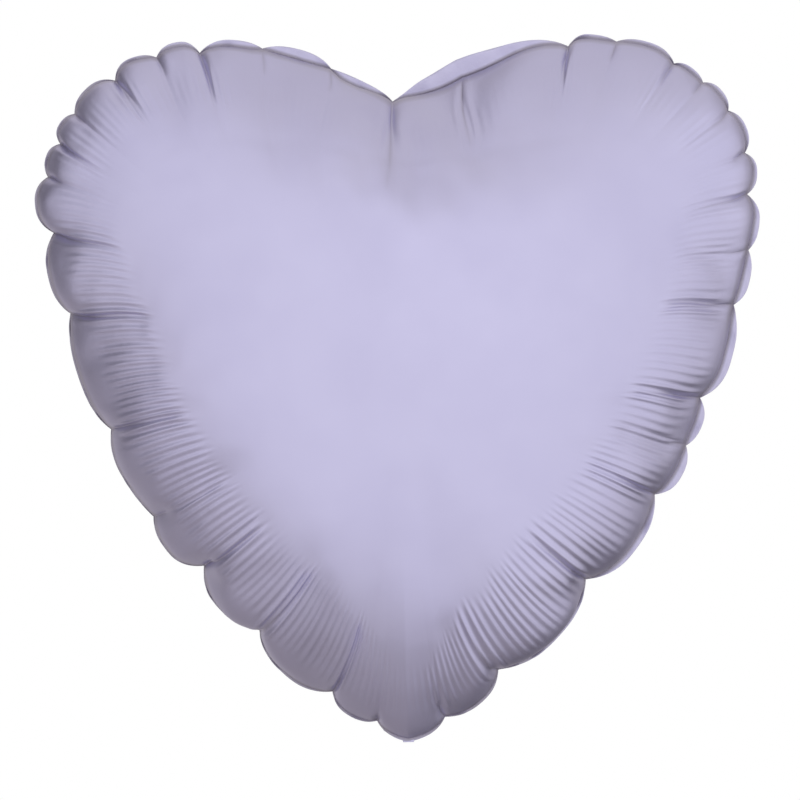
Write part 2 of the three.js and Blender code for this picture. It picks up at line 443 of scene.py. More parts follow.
def start_shape(flat):
    """Where each point of the flat film starts: on the smooth dome with its rim puckered."""
    angle, length = polar(flat[:, 0], flat[:, 1])
    full = flat_radius(angle)
    length_in = np.minimum(length, full)
    fraction = fraction_where(lambda part: fraction_to_flat(angle, part), length_in, 24)
    points = dome_point(angle, fraction)
    inset = full - length
    return points + rim_shift(OUTLINE.s_of_angle(angle), inset), angle, inset


def inflate():
    """Relaxes the two welded films under gas pressure. Returns the flat film's points and how
    far the front and the back film moved from their start, as x, depth, z."""
    flat, triangles, count = flat_film()
    start, angle, inset = start_shape(flat)
    wander = seam_wander(OUTLINE.s_of_angle(angle)) * bell(inset, WANDER_FADE)
    total = len(flat)
    back_id = np.arange(total) + total - count
    back_id[:count] = np.arange(count)
    position = np.zeros((2 * total - count, 3))
    rest = np.zeros_like(position)
    for ids, side in ((np.arange(total), -1), (back_id, 1)):
        position[ids] = np.stack([start[:, 0], side * start[:, 1] + wander, start[:, 2]], axis=1)
        swell = side * FIRST_SWELL * inset
        rest[ids] = np.stack([flat[:, 0], swell, flat[:, 1] + MIDDLE], axis=1)
    faces = np.vstack([triangles, back_id[triangles][:, ::-1]])
    mesh = bpy.data.meshes.new("inflation")
    mesh.from_pydata((rest * SIM_SCALE).tolist(), [], faces.tolist())
    film = new_object("inflation", mesh)
    film.shape_key_add(name="flat")
    drawn_in = film.shape_key_add(name="drawn_in")
    drawn_in.data.foreach_set("co", (position * SIM_SCALE).astype(np.float32).ravel())
    for frame_number, value in ((1, 0.0), (DRAW_IN_FRAMES, 1.0)):
        drawn_in.value = value
        drawn_in.keyframe_insert("value", frame=frame_number)
    pins = film.vertex_groups.new(name="weld")
    pins.add(list(range(count)), 1.0, "REPLACE")
    cloth = film.modifiers.new("Cloth", "CLOTH")
    for key, value in CLOTH.items():
        setattr(cloth.settings, key, value)
    cloth.settings.effector_weights.gravity = 0
    cloth.collision_settings.use_collision = False
    scene = bpy.context.scene
    scene.frame_end = SIM_FRAMES
    cloth.point_cache.frame_end = SIM_FRAMES
    for frame_number in range(1, SIM_FRAMES + 1):
        scene.frame_set(frame_number)
    shaped = film.evaluated_get(bpy.context.evaluated_depsgraph_get())
    result = np.zeros(3 * len(position), np.float32)
    shaped.data.vertices.foreach_get("co", result)
    result = result.reshape(-1, 3) / SIM_SCALE
    bpy.data.objects.remove(film)
    bpy.data.meshes.remove(mesh)
    scene.frame_set(1)
    moved = result - position
    front, back = moved[:total], moved[back_id]
    front[:, 1] *= -1
    return flat, front, back


# ---- movement map from the cloth
MAP_CELL = 2.5 * MM
MAP_REACH = 0.235
MAP_CELLS = int(2 * MAP_REACH / MAP_CELL) + 1
FINE_BLUR = 1.6                  # in cells: keeps the folds near the weld
WIDE_BLUR = 7.0                  # in cells: only the broad shape
FOLD_SHARE = 0.35                # of the cloth's narrow folds near the weld; none in the middle


def blur(image, width):
    """Gaussian smoothing of an image, width in cells."""
    reach = int(3 * width)
    weights = np.exp(-0.5 * (np.arange(-reach, reach + 1) / width) ** 2)
    for axis in (0, 1):
        padded = np.moveaxis(image, axis, 0)
        margin = np.zeros_like(padded[:reach])
        padded = np.concatenate([margin, padded, margin])
        rows = len(padded) - 2 * reach
        padded = sum(w * padded[k:k + rows] for k, w in enumerate(weights))
        image = np.moveaxis(padded, 0, axis)
    return image


def cells_round(place):
    """The four cells round each place of the map, with the share that each has of it."""
    cell = np.clip(place.astype(int), 0, MAP_CELLS - 2)
    part = place - cell
    for i in (0, 1):
        for j in (0, 1):
            share = np.abs(1 - i - part[..., 0]) * np.abs(1 - j - part[..., 1])
            yield cell[..., 0] + i, cell[..., 1] + j, share[..., None]


class MovementMap:
    """How far the cloth moved each place of the flat film, as smooth maps."""

    def __init__(self, flat, moved):
        image = np.zeros((MAP_CELLS, MAP_CELLS, 4))
        value = np.concatenate([moved, np.ones((len(moved), 1))], axis=1)
        for row, column, share in cells_round((flat + MAP_REACH) / MAP_CELL):
            np.add.at(image, (row, column), value * share)
        self.maps = []
        for width in (FINE_BLUR, WIDE_BLUR):
            soft = blur(image, width)
            self.maps.append(soft[..., :3] / np.maximum(soft[..., 3:], 1e-6))

    def read(self, x, y, inset):
        """The movement at places of the flat film, its narrow folds fading with the inset."""
        place = (np.stack([x, y], axis=-1) + MAP_REACH) / MAP_CELL
        fine, wide = (
            sum(image[row, column] * share for row, column, share in cells_round(place))
            for image in self.maps
        )
        folds = FOLD_SHARE * (1 - ease(inset, 50 * MM, 90 * MM))[..., None]
        return fine * folds + wide * (1 - folds)


# ---- the film's grid
COLUMNS = 1536
SQUARE_RUN = 64 * MM             # columns leave the weld squarely for about this far
# Rings of the grid: how far along its column each band ends, and how many rings it has. The
# number of columns halves from each band to the next.
BANDS = [(0.42, 44), (0.56, 8), (0.75, 8), (0.90, 5), (0.975, 3)]


def column_places():
    """Lengths along the weld of the grid's columns, closer together at the puckers."""
    s = np.linspace(0, OUTLINE.length, 20001)
    density = np.ones_like(s)
    for place in PUCKER_S:
        density += 1.2 * bell(gap_from(place, s), 5 * MM)
    run = np.concatenate([[0], np.cumsum(0.5 * (density[1:] + density[:-1]))])
    places = np.interp(np.arange(COLUMNS) / COLUMNS * run[-1], run, s)
    for place in PUCKER_S:
        places[np.argmin(np.abs(places - place))] = place
    return places


def ring_places():
    """Fractions of the way from the weld to the middle, and the band of each."""
    places, band_of = [0.0], [0]
    low = 0.0
    for band, (high, count) in enumerate(BANDS):
        k = np.arange(1, count + 1) / count
        if band == 0:
            k = 0.3 * k + 0.7 * k**1.7
        places += list(low + (high - low) * k)
        band_of += [band] * count
        low = high
    return np.array(places), np.array(band_of)


COLUMN_S = column_places()
RINGS, RING_BAND = ring_places()


def grid_plan():
    """XZ places of the grid, [column, ring, 2], before the film is given its depth."""
    rim = OUTLINE.at(OUTLINE.points, COLUMN_S)
    inward = OUTLINE.at(OUTLINE.inward, COLUMN_S)
    angle = OUTLINE.at(OUTLINE.angle, COLUMN_S)
    run = SQUARE_RUN * (1 - 0.74 * bell(angle - 180, 14))
    middle = np.array([0, MIDDLE])
    near = rim + inward * run[:, None]
    far = middle + 0.42 * (rim - middle)
    t = RINGS[None, :, None]
    curve = (1 - t) ** 3 * rim[:, None] + 3 * (1 - t) ** 2 * t * near[:, None]
    return curve + 3 * (1 - t) * t**2 * far[:, None] + t**3 * middle


# ---- folds and ridges
# Where the fine ridges lie, by direction: angle, inset where they start, inset where they end
# (both in millimetres) and strength.
RIDGES = [
    (0, 14, 34, 0.10), (30, 12, 30, 0.06), (55, 8, 34, 0.15), (70, 7, 42, 0.80),
    (95, 7, 44, 0.90), (110, 7, 48, 0.90), (125, 7, 52, 0.95), (145, 9, 52, 0.95),
    (160, 11, 50, 0.95), (172, 12, 42, 0.75), (180, 16, 40, 0.25), (190, 14, 52, 0.65),
    (205, 14, 58, 0.95), (222, 15, 54, 1.00), (240, 16, 52, 0.95), (262, 14, 50, 1.00),
    (280, 14, 48, 0.95), (295, 12, 44, 0.55), (312, 8, 30, 0.35), (330, 12, 30, 0.12),
    (360, 14, 34, 0.10),
]
RIDGE_STEP = 4.9 * MM            # one ridge to the next, along the weld
RIDGE_HEIGHT = 0.66 * MM


def ridge_height(s, inset, seed):
    """Fine parallel ridges square to the weld, each with its own start, end and strength."""
    random = np.random.default_rng(seed)
    count = int(OUTLINE.length / RIDGE_STEP)
    width = 1 + 0.22 * random.uniform(-1, 1, count)
    ends = np.concatenate([[0], np.cumsum(width)]) / width.sum() * OUTLINE.length
    number = np.interp(s, ends, np.arange(count + 1))
    strength = random.uniform(0.7, 1.05, count + 1)
    shorter = random.uniform(-2.5, 3, (2, count + 1)) * MM
    strength[-1], shorter[:, -1] = strength[0], shorter[:, 0]
    own = np.round(number).astype(int)
    angle = OUTLINE.at(OUTLINE.angle, s)
    start = read_table(RIDGES, angle, 1) * MM + shorter[0][own]
    end = read_table(RIDGES, angle, 2) * MM + shorter[1][own]
    region = read_table(RIDGES, angle, 3)
    wave = np.cos(2 * math.pi * number)
    wave = 0.5 * (1 + wave) ** 1.3 - 0.6
    for place, reach in zip(PUCKER_S, PUCKER_REACH):
        fan = bell(gap_from(place, s), 8 * MM) * min(1.0, reach / (25 * MM))
        region = region + 0.65 * fan
        start = start - 6 * MM * fan * (start > 8 * MM)
    fade = ease(inset, (start - 4 * MM)[:, None], (start + 5 * MM)[:, None])
    fade = fade * (1 - ease(inset, (end - 8 * MM)[:, None], (end + 4 * MM)[:, None]))
    return RIDGE_HEIGHT * (region * strength[own] * wave)[:, None] * fade


NICK_REACH = 9 * MM              # of the nick at a pucker with no crease
CREASE_DEPTH = 1.5 * MM          # at most
PUFF = 1.1 * MM                  # of the film between two puckers, highest at PUFF_INSET
PUFF_INSET = 11 * MM


def fold_height(s, inset, seed):
    """Height of the creases that run in from the puckers and of the puffed film between them, and a
    mask of painted shade along each crease, 0 to 1."""
    random = np.random.default_rng(seed)
    height = np.zeros_like(inset)
    painted_crease_shade = np.zeros_like(inset)
    for place, depth, reach in zip(PUCKER_S, PUCKER_DEPTH, PUCKER_REACH):
        lean = random.uniform(-0.07, 0.07)
        bow = random.uniform(-0.9, 0.9) * MM
        along = inset / (reach or NICK_REACH)
        bowed = bow * np.sin(math.pi * np.clip(along, 0, 1))
        side = gap_from(place, s)[:, None] - lean * inset - bowed
        width = (1.0 + 0.6 * np.clip(along, 0, 1)) * MM
        cut = min(0.9 * MM + 0.22 * depth, CREASE_DEPTH) * np.clip(1.25 - along, 0, 1) ** 1.2
        height -= cut * np.exp(-np.abs(side) / width)
        # painted shade: a narrow dark line down each crease, fading as the crease runs in
        painted_crease_shade += 0.95 * np.clip(1.1 - along, 0, 1) ** 0.7 * np.exp(-np.abs(side) / (0.55 * width))
        height += 0.28 * cut * bell(np.abs(side) - 3.6 * MM, 2.2 * MM)
    before, after, u = lobes(OUTLINE.at(OUTLINE.angle, s))
    length = np.mod(PUCKER_S[after] - PUCKER_S[before], OUTLINE.length)
    puff = PUFF * np.clip(length / (34 * MM), 0.2, 1.2) * (1 - u**2)
    height += puff[:, None] * (inset / PUFF_INSET) * np.exp(1 - inset / PUFF_INSET)
    return height * (1 - np.exp(-inset / (1.6 * MM))), np.clip(painted_crease_shade, 0, 1)


def surface_normals(points):
    """Unit normals of a grid that is closed along its first axis, pointing to positive depth."""
    across = np.roll(points, -1, axis=0) - np.roll(points, 1, axis=0)
    inward = np.gradient(points, axis=1)
    normal = np.cross(across, inward)
    normal /= np.maximum(np.linalg.norm(normal, axis=2, keepdims=True), 1e-12)
    return normal * np.where(normal[..., 1:2] < 0, -1, 1)


PLAN = grid_plan()
PLAN_INSET = np.linalg.norm(PLAN - PLAN[:, :1], axis=2)
PLAN_ANGLE, PLAN_RADIUS = polar(PLAN[..., 0], PLAN[..., 1] - MIDDLE)
PLAN_SEAM_RADIUS = OUTLINE.radius_at(PLAN_ANGLE)
PLAN_FRACTION = fraction_where(lambda part: dome_radius(part, PLAN_SEAM_RADIUS), PLAN_RADIUS, 26)
PLAN_FRACTION[:, 0] = 1.0
DOME = dome_point(PLAN_ANGLE, PLAN_FRACTION)
DOME_NORMAL = surface_normals(DOME)
FILM_LENGTH = fraction_to_flat(PLAN_ANGLE, PLAN_FRACTION)


def film_points(moved, side, seed):
    """Points of one panel of film, [column, ring, 3], in the frame. side is -1 front, 1 back."""
    points = DOME + rim_shift(COLUMN_S[:, None], PLAN_INSET)
    if moved is not None:
        turn = np.radians(PLAN_ANGLE)
        x, y = FILM_LENGTH * np.sin(turn), FILM_LENGTH * np.cos(turn)
        points += moved.read(x, y, PLAN_INSET) * (1 - np.exp(-PLAN_INSET / (4 * MM)))[..., None]
    height, painted_crease_shade = fold_height(COLUMN_S, PLAN_INSET, seed)
    height = height + ridge_height(COLUMN_S, PLAN_INSET, seed + 1)
    points += DOME_NORMAL * height[..., None]
    points[..., 1] = side * points[..., 1]
    points[..., 1] += seam_wander(COLUMN_S)[:, None] * bell(PLAN_INSET, WANDER_FADE)
    return points, painted_crease_shade


FAR_IN = 0.2                     # the inset that the middle point is given


def film_mesh(name, points, painted_crease_shade, side):
    """A mesh from the grid, with fewer columns band by band towards the middle."""
    used = np.arange(COLUMNS)[:, None] % 2**RING_BAND == 0
    ring_of, column_of = np.nonzero(used.T)
    total = len(ring_of)
    index = np.full(used.shape, -1)
    index[column_of, ring_of] = np.arange(total)
    vertices = np.vstack([points[column_of, ring_of], points[:, -1].mean(axis=0)])
    inset = np.append(PLAN_INSET[column_of, ring_of], FAR_IN)
    values = {"inset": inset, "painted_crease_shade": np.append(painted_crease_shade[column_of, ring_of], 0)}
    faces = []
    for ring in range(len(RINGS) - 1):
        step, inner_step = 2 ** RING_BAND[ring:ring + 2]
        outer, inner = index[:, ring], index[:, ring + 1]
        for a in range(0, COLUMNS, inner_step):
            b, c = (a + step) % COLUMNS, (a + inner_step) % COLUMNS
            if step == inner_step:
                faces.append([outer[a], outer[b], inner[b], inner[a]])
                continue
            faces.append([outer[a], outer[b], inner[a]])
            faces.append([outer[b], inner[c], inner[a]])
            faces.append([outer[b], outer[c], inner[c]])
    last = index[::2 ** RING_BAND[-1], -1]
    for a, b in zip(last, np.roll(last, -1)):
        faces.append([a, b, total])
    if side > 0:
        faces = [face[::-1] for face in faces]
    return add_piece(name, vertices, faces, values)


def add_piece(name, points, faces, values=None):
    """A smooth-shaded mesh object, with values at its points as named attributes."""
    mesh = bpy.data.meshes.new(name)
    mesh.from_pydata(np.asarray(points).tolist(), [], [[int(i) for i in face] for face in faces])
    for key, numbers in (values or {}).items():
        layer = mesh.attributes.new(key, "FLOAT", "POINT")
        layer.data.foreach_set("value", np.asarray(numbers, np.float32))
    mesh.polygons.foreach_set("use_smooth", [True] * len(mesh.polygons))
    mesh.update()
    return new_object(name, mesh)


def slab(name, points, thickness, closed=False, values=None):
    """A thin closed solid round a grid of points, [row, column, 3]. closed joins the last row
    to the first."""
    rows, cols = points.shape[:2]
    along = np.gradient(points, axis=0)
    if closed:
        along = np.roll(points, -1, axis=0) - np.roll(points, 1, axis=0)
    normal = np.cross(along, np.gradient(points, axis=1))
    normal /= np.maximum(np.linalg.norm(normal, axis=2, keepdims=True), 1e-12)
    offset = normal * 0.5 * thickness
    both = np.concatenate([(points + offset).reshape(-1, 3), (points - offset).reshape(-1, 3)])
    under = rows * cols              # from a point's number to that of the one below it
    index = np.arange(under).reshape(rows, cols)
    faces = []
    for i in range(rows if closed else rows - 1):
        k = (i + 1) % rows
        for j in range(cols - 1):
            a, b, c, d = index[i, j], index[k, j], index[k, j + 1], index[i, j + 1]
            faces.append([a, b, c, d])
            faces.append([d + under, c + under, b + under, a + under])
        for j in (0, cols - 1):
            a, b = index[i, j], index[k, j]
            edge = [b, a, a + under, b + under]
            faces.append(edge if j == 0 else edge[::-1])
    if not closed:
        for i in (0, rows - 1):
            for j in range(cols - 1):
                a, b = index[i, j], index[i, j + 1]
                edge = [a, b, b + under, a + under]
                faces.append(edge if i == 0 else edge[::-1])
    if values:
        values = {key: np.tile(np.asarray(v).ravel(), 2) for key, v in values.items()}
    return add_piece(name, both, faces, values)


# ---- the envelope
flat_points, front_shift, back_shift = inflate()
front_moved = MovementMap(flat_points, front_shift)
back_moved = MovementMap(flat_points, back_shift)
front = film_mesh("front_foil", *film_points(front_moved, -1, RANDOM_SEED), -1)
back = film_mesh("back_foil", *film_points(back_moved, 1, RANDOM_SEED + 40), 1)

BORDER_OVERLAP = 0.6 * MM        # how far the border reaches in past the weld
BORDER_RIPPLE = 0.9 * MM


def border_points():
    """Points across the welded border, and how far each lies beyond the weld."""
    rim = OUTLINE.at(OUTLINE.points, COLUMN_S)
    outward = -OUTLINE.at(OUTLINE.inward, COLUMN_S)
    shift = seam_shift(COLUMN_S)
    inner = shift - BORDER_OVERLAP
    outer = shift + border_width(OUTLINE.at(OUTLINE.angle, COLUMN_S))
    across = np.linspace(0, 1, 7)
    place = inner[:, None] * (1 - across) + outer[:, None] * across
    points = np.zeros(place.shape + (3,))
    points[..., 0] = rim[:, :1] + outward[:, :1] * place
    points[..., 2] = rim[:, 1:] + outward[:, 1:] * place
    random = np.random.default_rng(RANDOM_SEED + 5)
    turn = 2 * math.pi * COLUMN_S / OUTLINE.length
    ripple = sum(
        random.uniform(0.2, 0.5) * np.sin(waves * turn + random.uniform(0, 6.28))
        for waves in (23, 41, 67, 96)
    )
    points[..., 1] = seam_wander(COLUMN_S)[:, None] + BORDER_RIPPLE * ripple[:, None] * across**1.5
    return points, place - shift[:, None]


border_grid, beyond_weld = border_points()
border = slab("border_foil", border_grid, 0.35 * MM, closed=True, values={"beyond": beyond_weld})

# ---- neck, tail and valve
TAIL_BOX = [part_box(node) for node in ("tail_seal_left", "tail_seal_right")]
TAIL_HALF = TAIL_BOX[1][1][0]
HINGE = np.array([0, 0, frame["joints"][0]["pos_m"][2]])
_centre = 0.25 * sum(np.array(corner) for low_high in TAIL_BOX for corner in low_high) - HINGE
TAIL_RUN = _centre / np.linalg.norm(_centre)           # from the fold line along the tail
TAIL_FACE = np.cross([1, 0, 0], TAIL_RUN)              # square to the tail
SEAL_LENGTH = 55 * MM
TAIL_LENGTH = np.linalg.norm(_centre) + 0.5 * SEAL_LENGTH
NECK_HALF = 3.0 * MM
TAPER_RUN = 17 * MM              # over which the tail widens from the neck
SEAL_SHARE = 4 / 14              # of half the tail's width that is welded
FILM = 0.28 * MM
TAIL_ROWS = np.linspace(2.2 * MM, TAIL_LENGTH, 56)[:, None]


def tail_half(run):
    """Half the tail's width at a distance from the fold line: it widens from the neck."""
    return NECK_HALF + (TAIL_HALF - NECK_HALF) * ease(run, 0, TAPER_RUN)


def crinkle(x, run, seed, size):
    """Soft creases over a strip of film, running mostly across it."""
    random = np.random.default_rng(seed)
    total = np.zeros(np.broadcast(x, run).shape)
    for _ in range(9):
        turn = random.uniform(-0.7, 0.7)
        wave = random.uniform(5, 16) * MM
        phase = random.uniform(0, 6.28)
        place = (run * math.cos(turn) + x * math.sin(turn)) * 2 * math.pi / wave + phase
        total += random.uniform(0.3, 1.0) * (1 - np.abs(np.sin(0.5 * place))) ** 1.6
    return size * (total - total.mean())


def tail_end(run):
    """0 along the tail, rising to 1 over its last stretch, up to the cut end."""
    return ease(run, TAIL_LENGTH - 6 * MM, TAIL_LENGTH)


def tail_crumple(x, run):
    """The soft creases that all the tail's films share."""
    return crinkle(x, run, RANDOM_SEED + 60, 0.16 * MM)


def tail_points(x, run, lift):
    """Points of the tail: across it, along it from the fold line, and square to it."""
    across = x[..., None] * np.array([1, 0, 0])
    return HINGE + across + run[..., None] * TAIL_RUN + lift[..., None] * TAIL_FACE


def tail_film(name, side, seed):
    """One of the tail's two films, a little puffed, with an uneven cut end."""
    across = np.linspace(-1, 1, 21)[None, :]
    x = across * (tail_half(TAIL_ROWS) * (1 - SEAL_SHARE) + 0.4 * MM)
    end = tail_end(TAIL_ROWS)
    run = TAIL_ROWS + end * 0.9 * MM * np.sin(across * 5 + seed) + 0 * x
    puff = (0.9 * MM + 0.5 * MM * end) * (1 - across**2) * ease(run, 6 * MM, 26 * MM)
    lift = side * (0.22 * MM + puff) + tail_crumple(x, run) * (1 - 0.5 * across**2)
    lift = lift + side * np.abs(crinkle(x, run, seed, 0.12 * MM)) * (1 - across**2)
    return slab(name, tail_points(x, run, lift), FILM)


def tail_weld(name, side, seed):
    """One of the tail's two welded long sides, with a wavy edge."""
    across = np.linspace(0, 1, 7)[None, :]
    x = side * tail_half(TAIL_ROWS) * (1 - SEAL_SHARE * (1 - across))
    run = TAIL_ROWS - tail_end(TAIL_ROWS) * across * 0.6 * MM + 0 * x
    x = x + side * 0.25 * MM * np.sin(run / (3.1 * MM) + seed) * across
    edge = 0.35 * MM * np.sin(run / (4.3 * MM) + seed) * across
    return slab(name, tail_points(x, run, tail_crumple(x, run) * 0.6 + edge), 0.5 * MM)


def neck_strip():
    """The flat neck, out of the envelope's tip, over the fold line and on to the tail."""
    above = np.linspace(9.5 * MM, 0.15 * MM, 12)
    below = np.concatenate([[0.0, 0.15 * MM, 0.4 * MM], np.linspace(0.9 * MM, 6 * MM, 8)])
    across = np.linspace(-1, 1, 15)
    rows = []
    for height in above:
        half = NECK_HALF + 1.5 * MM * float(ease(height, 2 * MM, 8 * MM))
        x = across * half
        y = 0.25 * MM * np.sin(across * 3 + height / (2 * MM)) * float(ease(height, 0, 3 * MM))
        rows.append(np.stack([x, y, HINGE[2] + height + 0 * x], axis=1))
    for run in below:
        x = across * float(tail_half(np.array(run))) * 0.94
        rows.append(tail_points(x, run + 0 * x, 0 * x))
    return slab("neck_foil", np.array(rows), 0.4 * MM)


def valve_film(name, side, seed):
    """One of the valve's two films, hanging inside the gas space."""
    low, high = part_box("valve_front_film" if side < 0 else "valve_back_film")
    z = np.linspace(max(low[2], 9 * MM), high[2], 70)[:, None]
    x = np.linspace(low[0], high[0], 15)[None, :] + 0 * z
    z = z + 0 * x
    share = x / high[0]
    puff = 0.5 * MM * (1 - share**2) * ease(z, 20 * MM, 60 * MM)
    y = side * (0.18 * MM + puff) + 0.8 * MM * np.sin(z / (17 * MM)) * ease(z, 12 * MM, 40 * MM)
    y = y + crinkle(x, z, seed, 0.07 * MM)
    return slab(name, np.stack([x, y, z], axis=2), 0.12 * MM)


tail_inner = tail_film("tail_inner_foil", 1, RANDOM_SEED + 61)
tail_outer = tail_film("tail_outer_foil", -1, RANDOM_SEED + 62)
tail_left = tail_weld("tail_weld_left", -1, 0.4)
tail_right = tail_weld("tail_weld_right", 1, 2.1)
neck = neck_strip()
valve_front = valve_film("valve_front_liner", -1, RANDOM_SEED + 63)
valve_back = valve_film("valve_back_liner", 1, RANDOM_SEED + 64)


# ---- materials
class Nodes:
    """Short names for building the shader nodes of a material or a world."""

    def __init__(self, owner):
        owner.use_nodes = True
        self.owner = owner
        self.tree = owner.node_tree

    def add(self, kind, settings=None, **inputs):
        node = self.tree.nodes.new(kind)
        for key, value in (settings or {}).items():
            setattr(node, key, value)
        for key, value in inputs.items():
            self.put(node, key.replace("_", " "), value)
        return node

    def put(self, node, key, value):
        if isinstance(value, bpy.types.NodeSocket):
            self.tree.links.new(value, node.inputs[key])
        else:
            node.inputs[key].default_value = value

    def set(self, **inputs):
        for key, value in inputs.items():
            self.put(self.tree.nodes["Principled BSDF"], key.replace("_", " "), value)

    def place(self, output="Object"):
        return self.add("ShaderNodeTexCoord").outputs[output]

    def noise(self, vector, scale, detail=2.0, roughness=0.5):
        node = self.add(
            "ShaderNodeTexNoise", Vector=vector, Scale=scale, Detail=detail, Roughness=roughness
        )
        return node.outputs["Fac"]

    def span(self, value, low, high, to_low=0.0, to_high=1.0, curve="LINEAR"):
        """value from low to high, mapped to to_low to to_high and held beyond."""
        node = self.add(
            "ShaderNodeMapRange", {"clamp": True, "interpolation_type": curve},
            Value=value, From_Min=low, From_Max=high, To_Min=to_low, To_Max=to_high,
        )
        return node.outputs["Result"]

    def mix(self, share, first, second):
        """first and second mixed. 6 and 7 are the mix node's two colour inputs."""
        node = self.add("ShaderNodeMix", {"data_type": "RGBA"})
        self.put(node, 0, share)
        for index, value in ((6, first), (7, second)):
            if not isinstance(value, bpy.types.NodeSocket):
                value = (*value, 1)
            self.put(node, index, value)
        return node.outputs[2]

    def math(self, operation, first, second):
        node = self.add("ShaderNodeMath", {"operation": operation})
        self.put(node, 0, first)
        self.put(node, 1, second)
        return node.outputs[0]

    def attribute(self, name):
        return self.add("ShaderNodeAttribute", {"attribute_name": name}).outputs["Fac"]

    def bump(self, height, distance, normal=None, strength=1.0):
        node = self.add("ShaderNodeBump", Height=height, Distance=distance, Strength=strength)
        if normal is not None:
            self.put(node, "Normal", normal)
        return node.outputs["Normal"]


LILAC = (0.600, 0.575, 0.800)
LILAC_SHADE = (0.575, 0.550, 0.775)
# SEAM_SHADE is painted shade: the dark colour laid on the film along the weld and down the creases,
# and on the border close to the weld
SEAM_SHADE = (0.300, 0.272, 0.335)
GRAIN = 2600.0                   # scale of the film's finest texture


def film_material(name, tint=1.0):
    """Satin metallised film: fine grain, faint blotches, crinkled near the weld, with painted shade
    along the weld and down the creases.
    """
    n = Nodes(bpy.data.materials.new(name))
    place = n.place()
    inset = n.attribute("inset")
    blotch = n.noise(place, 16.0, 3.0)
    colour = n.mix(
        n.span(blotch, 0.35, 0.65),
        tuple(c * tint for c in LILAC),
        tuple(c * tint for c in LILAC_SHADE),
    )
    # painted shade: the film turns dark over the last 2.6 mm to the weld and down each crease from
    # a pucker
    painted_weld_shade = n.span(inset, 0.0, 2.6 * MM, 0.75, 0.0)
    painted_crease_shade = n.math("MULTIPLY", n.attribute("painted_crease_shade"), 0.6)
    colour = n.mix(n.math("MAXIMUM", painted_weld_shade, painted_crease_shade), colour, SEAM_SHADE)
    near = n.span(inset, 0.0, 70 * MM, 1.0, 0.0)
    crackle = n.math("MULTIPLY", n.noise(place, 210.0, 4.0, 0.6), near)
    grain = n.noise(place, GRAIN, 1.0)
    rough = n.span(n.noise(place, 45.0, 2.0), 0.3, 0.7, 0.40, 0.46)
    normal = n.bump(crackle, 0.16 * MM)
    normal = n.bump(grain, 0.010 * MM, normal)
    n.set(Base_Color=colour, Metallic=0.9, Roughness=rough, Normal=normal)
    return n.owner


def border_material():
    """The two films welded flat: paler, slightly see-through, with a seal pattern pressed in, and
    painted shade close to the weld.
    """
    n = Nodes(bpy.data.materials.new("border_film_look"))
    place = n.place()
    beyond = n.attribute("beyond")
    blotch = n.span(n.noise(place, 60.0, 3.0), 0.3, 0.7)
    colour = n.mix(blotch, (0.640, 0.610, 0.830), (0.590, 0.560, 0.790))
    # painted shade: the border turns dark within 0.7 to 2.2 mm of the weld, so narrow strips are
    # dark all over
    colour = n.mix(n.span(beyond, 0.7 * MM, 2.2 * MM, 0.85, 0.0), colour, SEAM_SHADE)
    press = n.add("ShaderNodeTexVoronoi", Vector=place, Scale=1300.0).outputs["Distance"]
    wrinkle = n.noise(place, 260.0, 3.0, 0.6)
    normal = n.bump(press, 0.04 * MM)
    normal = n.bump(wrinkle, 0.25 * MM, normal)
    rough = n.span(n.noise(place, 120.0, 2.0), 0.3, 0.7, 0.36, 0.46)
    n.set(Base_Color=colour, Metallic=0.45, Roughness=rough, Normal=normal, Alpha=0.92)
    return n.owner


def tail_material(name, base, shade, metallic, press):
    """Uninflated film: crumpled, with a pressed pattern where it is welded."""
    n = Nodes(bpy.data.materials.new(name))
    place = n.place()
    blotch = n.span(n.noise(place, 90.0, 3.0), 0.3, 0.7)
    crumple = n.noise(place, 170.0, 5.0, 0.6)
    normal = n.bump(crumple, 0.5 * MM)
    if press:
        dots = n.add("ShaderNodeTexVoronoi", Vector=place, Scale=1500.0).outputs["Distance"]
        normal = n.bump(dots, 0.10 * MM, normal)
    normal = n.bump(n.noise(place, GRAIN, 1.0), 0.012 * MM, normal)
    rough = n.span(n.noise(place, 140.0, 2.0), 0.3, 0.7, 0.34, 0.46)
    colour = n.mix(blotch, base, shade)
    n.set(Base_Color=colour, Metallic=metallic, Roughness=rough, Normal=normal)
    return n.owner


def valve_material():
    """Milky plastic film of the self-sealing valve."""
    n = Nodes(bpy.data.materials.new("valve_film_look"))
    place = n.place()
    haze = n.span(n.noise(place, 55.0, 3.0), 0.3, 0.7)
    normal = n.bump(n.noise(place, 320.0, 3.0), 0.12 * MM)
    colour = n.mix(haze, (0.78, 0.79, 0.82), (0.66, 0.67, 0.72))
    rough = n.span(n.noise(place, 90.0, 2.0), 0.3, 0.7, 0.28, 0.42)
    n.set(Base_Color=colour, Roughness=rough, Normal=normal, Alpha=0.7)
    return n.owner


FRONT_LOOK = film_material("front_film_look")
BACK_LOOK = film_material("back_film_look", 0.985)
BORDER_LOOK = border_material()
TAIL_LOOK = tail_material("tail_film_look", LILAC, LILAC_SHADE, 0.88, False)
WELD_LOOK = tail_material("tail_weld_look", (0.64, 0.61, 0.83), (0.56, 0.53, 0.74), 0.6, True)
VALVE_LOOK = valve_material()

